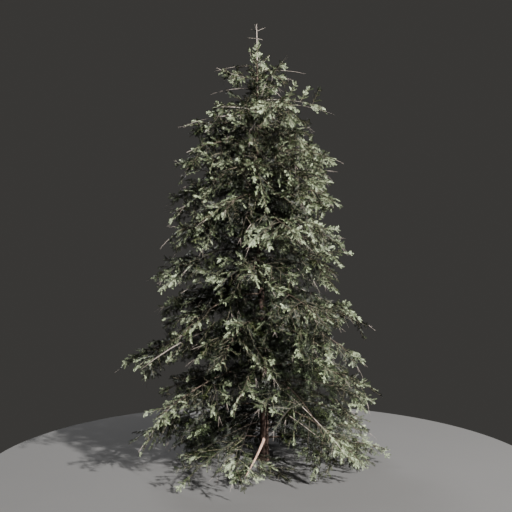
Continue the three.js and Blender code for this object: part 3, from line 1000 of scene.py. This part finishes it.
def colour_setting(name, description, hex_code):
    """A colour that the panel sets."""
    return bpy.props.FloatVectorProperty(
        name=name, description=description, default=linear(hex_code), subtype="COLOR"
    )


class FirSizes(bpy.types.PropertyGroup):
    """Sizes of the fir's needles, shoots and bark."""

    needle_length: length_setting("Needle length", "Length of a needle", 0.025)
    needle_width: length_setting("Needle width", "Width of a needle", 0.0125)
    needle_spacing: length_setting("Needle spacing", "Distance from needle to needle along a shoot", 0.0079)
    twig_spacing: length_setting("Twig spacing", "Distance between twigs on one side of a branchlet", 0.19)
    shoot_length: length_setting("Shoot length", "Length of a year's side shoot", 0.1)
    relief: length_setting("Bark relief", "Height of the blisters and ridges of the bark", 0.004)


class FirColours(bpy.types.PropertyGroup):
    """Colours of the fir's bark and needles."""

    # Needle tints from silver outside to deep inside: partly bloom, partly painted light and painted shade.
    silver: colour_setting("Silver", "Outer sprays with full bloom", "#9aa784")
    sage: colour_setting("Sage", "Outer sprays", "#475436")
    grey_green: colour_setting("Grey green", "Middle sprays", "#1f2a11")
    green: colour_setting("Green", "Inner sprays", "#182308")
    olive: colour_setting("Olive", "Yellowed sprays", "#2d3812")
    deep: colour_setting("Deep", "Innermost sprays", "#111a06")
    # Trunk bark colours, darkened as painted shade of the crown above.
    bark: colour_setting("Bark", "Trunk bark in the light", "#57453b")
    old_bark: colour_setting("Old bark", "Trunk bark in its hollows", "#281812")
    branchlet: colour_setting("Branchlet", "Bark of the branchlets", "#4b4336")
    twig: colour_setting("Twig", "Bark of the young twigs", "#7f7a66")
    # Pale bough: pinkish grey bark, painted light for the sunlit front limb.
    pale_bough: colour_setting("Pale bough", "Weathered bark of the bare boughs", "#b8998a")
    dead_twig: colour_setting("Dead twig", "Weathered bark of bare twigs", "#aea69c")


def sizes():
    """The sizes set in the panel."""
    return bpy.context.scene.fir_sizes


def colours():
    """The colours set in the panel."""
    return bpy.context.scene.fir_colours


def grown_now():
    """The stems for the sizes set in the panel."""
    return grown(round(sizes().twig_spacing, 4), round(sizes().shoot_length, 4))


def bark_noise(spot, height, waves, start=0):
    """Noise on the bark, at a spot beside the trunk's middle and a height."""
    across, along = waves
    return noise.noise(Vector((spot.x * across, spot.y * across, height * along + start)))


def trunk_points():
    """Rings of points up the trunk, with its flare, its collars and the relief of its bark."""
    heights = np.linspace(0, 1, TRUNK_ROWS) ** TRUNK_ROW_CROWDING * TREE_HEIGHT
    centres = trunk_centre(heights)
    bough_heights = grow_boughs().start[:, 2]
    points = np.empty((TRUNK_ROWS, TRUNK_SIDES, 3))
    for r, height in enumerate(heights):
        radius = float(trunk_radius(height))
        collar = COLLAR * np.exp(-((np.abs(bough_heights - height) / COLLAR_HEIGHT) ** 2)).max()
        deep = min(1.0, radius / TRUNK_RADIUS)
        for s, turn in enumerate(turns_round(TRUNK_SIDES)):
            lobe = 1 + FLARE_LOBE_DEPTH * math.cos(FLARE_LOBES * turn)
            flare = 1 + FLARE * lobe * math.exp(-height / FLARE_HEIGHT)
            around = Vector((math.cos(turn), math.sin(turn), 0))
            ridges = bark_noise(around * radius, height, RIDGE_WAVES)
            blisters = max(0.0, bark_noise(around * radius, height, BLISTER_WAVES, BLISTER_START) - FLAT_BARK)
            relief = sizes().relief * (RIDGE_SHARE * ridges + BLISTER_SHARE * blisters) * deep
            points[r, s] = centres[r] + np.array(around) * (radius * flare * (1 + collar) + relief)
    points[0, :, 2] = 0
    return points.reshape(-1, 3)


def trunk_caps():
    """Quads that close the flat cut at the trunk's foot and its tip."""
    caps = []
    for first, step in ((0, -1), ((TRUNK_ROWS - 1) * TRUNK_SIDES, 1)):
        for s in range(TRUNK_SIDES // 2 - 1):
            corners = [s, s + 1, TRUNK_SIDES - 2 - s, TRUNK_SIDES - 1 - s]
            caps.append([first + corner for corner in corners[::step]])
    return np.array(caps)


class FIR_OT_trunk(bpy.types.Operator):
    """Build the trunk with the relief of its bark"""

    bl_idname = "fir.trunk"
    bl_label = "Trunk"

    def execute(self, context):
        points = trunk_points()
        quads = np.concatenate([ring_quads(1, TRUNK_ROWS, TRUNK_SIDES), trunk_caps()])
        # Brown-grey bark, nearly black in its hollows, and darkened all over as painted shade of the crown.
        bark = bark_material("silver_fir_bark", colours().old_bark, colours().bark, linear("#35251d"), 12)
        # The pale smooth skin of the last years' growth.
        young = bark_material("leader_bark", linear("#8a8078"), colours().dead_twig, linear("#9a8c84"), 6)
        obj = mesh_object("trunk_bark", points, quads, [bark, young], points[quads[:, 0], 2] > LEADER_FROM)
        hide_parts("trunk")
        return {"FINISHED"}


def grow_leader_shoots():
    """The bare shoots round the top of the leader."""
    rows = []
    for whorl in LEADER_WHORLS:
        start = trunk_centre(TREE_HEIGHT - whorl["below"])
        for n in range(whorl["shoots"]):
            angle = math.radians(whorl["turn"] + 360 * n / whorl["shoots"])
            out = np.array([math.cos(angle), math.sin(angle), whorl["rise"]])
            rows.append((start, out / np.linalg.norm(out) * whorl["length"]))
    start, run = columns(rows)
    return Shoots(start=start, run=run, bow=np.zeros_like(run), flat=np.broadcast_to(UP, run.shape))


class FIR_OT_boughs(bpy.types.Operator):
    """Build the boughs and the bare shoots of the leader"""

    bl_idname = "fir.boughs"
    bl_label = "Boughs"

    def execute(self, context):
        boughs = grown_now()[0]

        def roughness(row, side):
            """How far each bough's bark stands out at a row and a side, as a share of the radius."""
            return 1 + BOUGH_ROUGHNESS * scatter(boughs.key + row * 0.71, side + 5)

        points, quads = tubes(boughs, (boughs.base, boughs.tip), rows=26, sides=9, roughness=roughness)
        more_points, more_quads = tubes(grow_leader_shoots(), LEADER_SHOOT_RADII, rows=6, sides=6)
        # Dark brown bark.
        bark = bark_material("bough_bark", colours().old_bark, colours().branchlet, linear("#43352b"), 8)
        # Bark without needles above it, pinkish grey as painted light on the sunlit front limb.
        pale = bark_material(
            "weathered_bough_bark", linear("#8f7263"), colours().pale_bough, linear("#ab8c7c"), 8
        )
        # Grey smooth skin of young wood.
        young = bark_material("bare_shoot_bark", linear("#7c736b"), colours().dead_twig, linear("#8f857c"), 6)
        # Painted shade: bark nearly black, for a bough that stands in the shade beside the foot.
        painted_shade_bark = bark_material(
            "shaded_bough_bark", linear("#17100c"), linear("#2a2019"), linear("#1f1712"), 8
        )
        materials = [bark, pale, young, painted_shade_bark]
        kind = np.where(boughs.whorl >= YOUNG_WHORL, materials.index(young), materials.index(bark))
        for material, listed in ((pale, PALE_BOUGHS), (painted_shade_bark, PAINTED_SHADE_BOUGHS)):
            kind[np.isin(boughs.key, [whorl * 10 + n for whorl, n in listed])] = materials.index(material)
        kinds = [
            np.repeat(kind, len(quads) // len(boughs)),
            np.full(len(more_quads), materials.index(young)),
        ]
        obj = mesh_object(
            "boughs_bark",
            np.concatenate([points, more_points]),
            np.concatenate([quads, more_quads + len(points)]),
            materials,
            np.concatenate(kinds),
        )
        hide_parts(*[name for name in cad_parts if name.startswith("limb")])
        return {"FINISHED"}


def outwardness(stems):
    """How far out in the crown the middle of each stem is, as a share of the crown's radius at its height."""
    middle = stems.at(0.5)
    height = middle[:, 2]
    beside = middle[:, :2] - trunk_centre(height)[:, :2]
    radius = np.minimum(CROWN_RADIUS - CROWN_TAPER * height, FOOT_RADIUS + FOOT_SPREAD * height)
    out = np.linalg.norm(beside, axis=1) / radius
    out = np.maximum(out, np.minimum((height - UPPER_FROM) / UPPER_DEPTH, UPPER_MOST))
    return np.maximum(out, (height - TOP_FROM) / TOP_DEPTH)


class FIR_OT_twigs(bpy.types.Operator):
    """Build the branchlets, the twigs and the stems of the last shoots"""

    bl_idname = "fir.twigs"
    bl_label = "Twigs"

    def execute(self, context):
        _, branchlets, twigs, last, bare = grown_now()
        # Dark brown bark.
        older = bark_material("branchlet_bark", colours().old_bark, colours().branchlet, linear("#3b3228"), 6)
        # Thin downy bark, grey green and light.
        young = bark_material("young_twig_bark", linear("#5d5240"), colours().twig, linear("#7d7462"), 5)
        # Painted shade: the same bark nearly black, for twigs deep in the crown.
        painted_shade_bark = bark_material("shaded_twig_bark", linear("#1b1810"), linear("#2f2b1d"), linear("#252116"), 5)
        # Dry wood, bleached to a pale grey.
        dead = bark_material("dead_twig_bark", linear("#7f766c"), colours().dead_twig, linear("#9a8c84"), 5)
        root, tip = BRANCHLET_RADII
        thick = (root + BRANCHLET_THICKENING * branchlets.lengths(), tip)
        # Twigs deep in the crown get the nearly black bark as painted shade.
        inner = outwardness(twigs) < PAINTED_SHADE_SHARE
        parts = (
            ("branchlets", older, branchlets, tubes(branchlets, thick, rows=7, sides=5), None),
            ("twigs", young, twigs, tubes(twigs, TWIG_RADII, rows=3, sides=3), inner),
            ("last_shoots", young, last, tubes(last, SHOOT_RADII, rows=2, sides=3), inner[last.twig]),
            ("bare_twigs", dead, bare, tubes(bare, (bare.base, bare.tip), rows=9, sides=6), None),
        )
        for name, bark, stems, (points, quads), painted_shade_mask in parts:
            kinds = None if painted_shade_mask is None else np.repeat(painted_shade_mask, len(quads) // len(stems))
            obj = mesh_object(name, points, quads, [bark, painted_shade_bark], kinds)
        return {"FINISHED"}


def needle_stations(stems, from_share, spacing):
    """The stem, the share of its length and the number on it of each needle."""
    count = np.round((1 - from_share) * stems.lengths() / spacing)
    count = np.maximum(FEWEST_NEEDLES, count).astype(int)
    of = np.repeat(np.arange(len(stems)), count)
    step = np.arange(len(of)) - np.repeat(np.cumsum(count) - count, count)
    share = from_share[of] + (1 - from_share[of]) * (step + 0.5) / count[of]
    return of, share, step


def needles(stems, from_share, spacing, scale, rng, upper_every=8):
    """Needles combed to both sides of the stems, some above: stem, share, way back from the tip, corners."""
    of, share, step = needle_stations(stems, np.broadcast_to(from_share, len(stems)), spacing)
    stem = stems.pick(of)
    ahead = stem.heading(share)
    beside = unit(np.cross(ahead, stem.flat))
    above = np.cross(beside, ahead)
    count = len(of)
    scale = np.broadcast_to(scale, len(stems))[of]
    to_tip = (1 - share) * stems.lengths()[of]
    opening = np.clip(to_tip / CLOSING_STRETCH, 0, 1) ** CLOSING_CURVE
    lean = np.radians(LEAN_AT_TIP + LEAN_GAIN * opening) + rng.normal(0, LEAN_SPREAD, count)
    upper = step % upper_every == upper_every - 1
    side = np.where(step % 2 == 0, 1.0, -1.0)
    lift = np.where(upper, rng.uniform(*UPPER_LIFT, count), rng.normal(*SIDE_LIFT, count))
    around = beside * column(side * np.cos(lift)) + above * column(np.sin(lift))
    along = ahead * column(np.cos(lean)) + around * column(np.sin(lean))
    at_tip = TIP_NEEDLE + TIP_NEEDLE_GAIN * opening
    length = sizes().needle_length * scale * np.where(upper, UPPER_NEEDLE, 1.0) * at_tip
    length = length * (LENGTH_RANGE[0] + LENGTH_RANGE[1] * rng.uniform(0, 1, count))
    outward = above * column(np.cos(lift)) - beside * column(side * np.sin(lift))
    twist = rng.normal(0, NEEDLE_TWIST, count)
    across = unit(np.cross(outward, along)) * column(np.cos(twist)) + outward * column(np.sin(twist))
    width = WIDTH_RANGE[0] + WIDTH_RANGE[1] * rng.uniform(0, 1, count)
    half = across * column(sizes().needle_width * scale / 2 * width)
    root = stem.at(share)
    end = root + along * column(length)
    foot, tip = half * NEEDLE_FOOT, half * NEEDLE_END
    return of, share, to_tip, np.stack([root - foot, root + foot, end + tip, end - tip], axis=1)


def tint_of_twigs(out, rng):
    """The tint of each twig: silvery to the outside, green to deep inside, some olive; partly painted light
    and shade.
    """
    bloom = out * BLOOM_GAIN + rng.normal(BLOOM_SHIFT, BLOOM_SPREAD, len(out))
    tint = np.array(TINTS_OUTWARD)[np.searchsorted(BLOOM_STEPS, bloom)]
    olive = rng.uniform(0, 1, len(out)) < OLIVE_SHARE
    return np.where(olive & (tint > 0), OLIVE, tint)


def darker_with_age(tint, back, rng):
    """The tints of needles at a distance back from the tip of their twig."""
    darker = np.array(ONE_DARKER)
    years = np.clip(np.floor((back + rng.normal(0, GROWTH_SPREAD, len(back))) / YEARS_GROWTH), 0, 2)
    return np.where(years == 0, tint, np.where(years == 1, darker[tint], darker[darker[tint]]))


def grown_needles():
    """Every needle of the tree: its corners, its tint and its whorl."""
    boughs, branchlets, twigs, last, _ = grown_now()
    rng = np.random.default_rng(SEED + 1)
    out = outwardness(twigs)
    out[-len(PLACED_TWIGS) :] = 1
    tint = tint_of_twigs(out, rng)
    inner = out < INNER_SHARE
    apart = sizes().needle_spacing * np.where(inner, INNER_THINNING, 1.0)
    scale = np.where(inner, INNER_SCALE, 1.0)
    of_twig, _, back, on_twigs = needles(twigs, NEEDLES_FROM["twigs"], apart * TWIG_THINNING, scale, rng)
    twig_tint = darker_with_age(tint[of_twig], back, rng)
    apart, scale = apart[last.twig], scale[last.twig]
    of_last, _, back, on_last = needles(last, NEEDLES_FROM["last_shoots"], apart, scale, rng)
    own_age = last.from_tip / 2 + rng.normal(0, SHOOT_AGE_SPREAD, len(last))
    last_tint = darker_with_age(tint[last.twig][of_last], own_age[of_last] + back, rng)
    older = joined(branchlets, boughs)
    start = np.repeat([NEEDLES_FROM["twigs"], NEEDLES_FROM["boughs"]], [len(branchlets), len(boughs)])
    apart = sizes().needle_spacing * OLD_WOOD_THINNING
    of_older, share, back, on_older = needles(older, start, apart, 1.0, rng, upper_every=2)
    older_tint = darker_with_age(tint_of_twigs(outwardness(older), rng)[of_older], back, rng)
    is_bough = of_older >= len(branchlets)
    bare = in_gaps(on_older.mean(axis=1))
    bare[is_bough] |= bare_there(boughs, of_older[is_bough] - len(branchlets), share[is_bough])
    parts = (
        (on_twigs, twig_tint, twigs.whorl[of_twig]),
        (on_last, last_tint, last.whorl[of_last]),
        (on_older[~bare], older_tint[~bare], older.whorl[of_older[~bare]]),
    )
    corners, tints, whorl = (np.concatenate(values) for values in zip(*parts))
    above = corners[:, :, 2].min(axis=1) > LOWEST_NEEDLE
    return corners[above], tints[above], whorl[above]


class FIR_OT_needles(bpy.types.Operator):
    """Build the needles on twigs and last shoots, joined by whorls and tinted by spray"""

    bl_idname = "fir.needles"
    bl_label = "Needles"

    def execute(self, context):
        corners, tints, whorl = grown_needles()
        materials = [needle_material(f"waxy_needle_{name}", getattr(colours(), name)) for name in TINTS]
        for group in NEEDLE_GROUPS:
            here = np.isin(whorl, group)
            points = corners[here].reshape(-1, 3)
            quads = np.arange(len(points)).reshape(-1, 4)
            name = "needles_w" + "_".join(f"{w + 1:02d}" for w in group)
            obj = mesh_object(name, points, quads, materials, tints[here], smooth=False)
            marks = tuple(f"foliage_w{w + 1:02d}_" for w in group)
            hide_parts(*[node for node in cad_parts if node.startswith(marks)])
        return {"FINISHED"}


def add_light(name, place, aim, size, watts, colour):
    """A soft square light that points at its aim."""
    data = bpy.data.lights.new(name, "AREA")
    data.size = size
    data.energy = watts
    data.color = colour
    light = bpy.data.objects.new(name, data)
    light.location = place
    light.rotation_euler = (Vector(aim) - Vector(place)).to_track_quat("-Z", "Y").to_euler()
    bpy.context.scene.collection.objects.link(light)


def studio_air():
    """A world that hardly lights the tree, with the grey backdrop that the camera sees."""
    world = bpy.data.worlds.new("studio_air")
    world.use_nodes = True
    air = world.node_tree
    lit = air.nodes["Background"]
    lit.inputs["Color"].default_value = rgba(linear("#cfd0cc"))
    lit.inputs["Strength"].default_value = 0.01
    seen = add_node(air, "ShaderNodeBackground", inputs={"Color": rgba(linear("#3e3d3b")), "Strength": 1.0})
    sight = add_node(air, "ShaderNodeLightPath").outputs["Is Camera Ray"]
    both = add_node(air, "ShaderNodeMixShader", links={"Fac": sight})
    air.links.new(lit.outputs["Background"], both.inputs[1])
    air.links.new(seen.outputs["Background"], both.inputs[2])
    air.links.new(both.outputs["Shader"], air.nodes["World Output"].inputs["Surface"])
    return world


class FIR_OT_stage(bpy.types.Operator):
    """Set the floor, the lights and the camera"""

    bl_idname = "fir.stage"
    bl_label = "Stage"

    def execute(self, context):
        scene = context.scene
        mesh = bpy.data.meshes.new("floor")
        rim = [(FLOOR_RADIUS * math.cos(t), FLOOR_RADIUS * math.sin(t), 0) for t in turns_round(FLOOR_SIDES)]
        mesh.from_pydata(rim, [], [list(range(FLOOR_SIDES))])
        mesh.materials.append(floor_material())
        floor = bpy.data.objects.new("floor", mesh)
        scene.collection.objects.link(floor)
        scene.world = studio_air()
        for light in LIGHTS:
            add_light(*light)
        data = bpy.data.cameras.new("camera")
        data.lens = LENS_MM
        data.sensor_width = FILM_MM
        camera = bpy.data.objects.new("camera", data)
        camera.location = CAMERA_PLACE
        camera.rotation_euler = (CAMERA_TILT, 0, 0)
        scene.collection.objects.link(camera)
        scene.camera = camera
        return {"FINISHED"}


class FIR_PT_panel(bpy.types.Panel):
    """The fir's sizes, colours and steps"""

    bl_idname = "FIR_PT_panel"
    bl_label = "Silver fir"
    bl_space_type = "VIEW_3D"
    bl_region_type = "UI"
    bl_category = "Silver fir"

    def draw(self, context):
        for group in (context.scene.fir_sizes, context.scene.fir_colours):
            for name in group.__annotations__:
                self.layout.prop(group, name)
        for step in STEPS:
            self.layout.operator(step.bl_idname)


STEPS = (FIR_OT_trunk, FIR_OT_boughs, FIR_OT_twigs, FIR_OT_needles, FIR_OT_stage)
CLASSES = (FirSizes, FirColours, *STEPS, FIR_PT_panel)


def register():
    """Add the classes and the scene's settings."""
    for made in CLASSES:
        bpy.utils.register_class(made)
    bpy.types.Scene.fir_sizes = bpy.props.PointerProperty(type=FirSizes)
    bpy.types.Scene.fir_colours = bpy.props.PointerProperty(type=FirColours)


def unregister():
    """Take the classes and the scene's settings away."""
    del bpy.types.Scene.fir_colours
    del bpy.types.Scene.fir_sizes
    for made in reversed(CLASSES):
        bpy.utils.unregister_class(made)


def main():
    """Build the tree and its stage."""
    register()
    bpy.ops.fir.trunk()
    bpy.ops.fir.boughs()
    bpy.ops.fir.twigs()
    bpy.ops.fir.needles()
    bpy.ops.fir.stage()


if __name__ == "__main__":
    main()
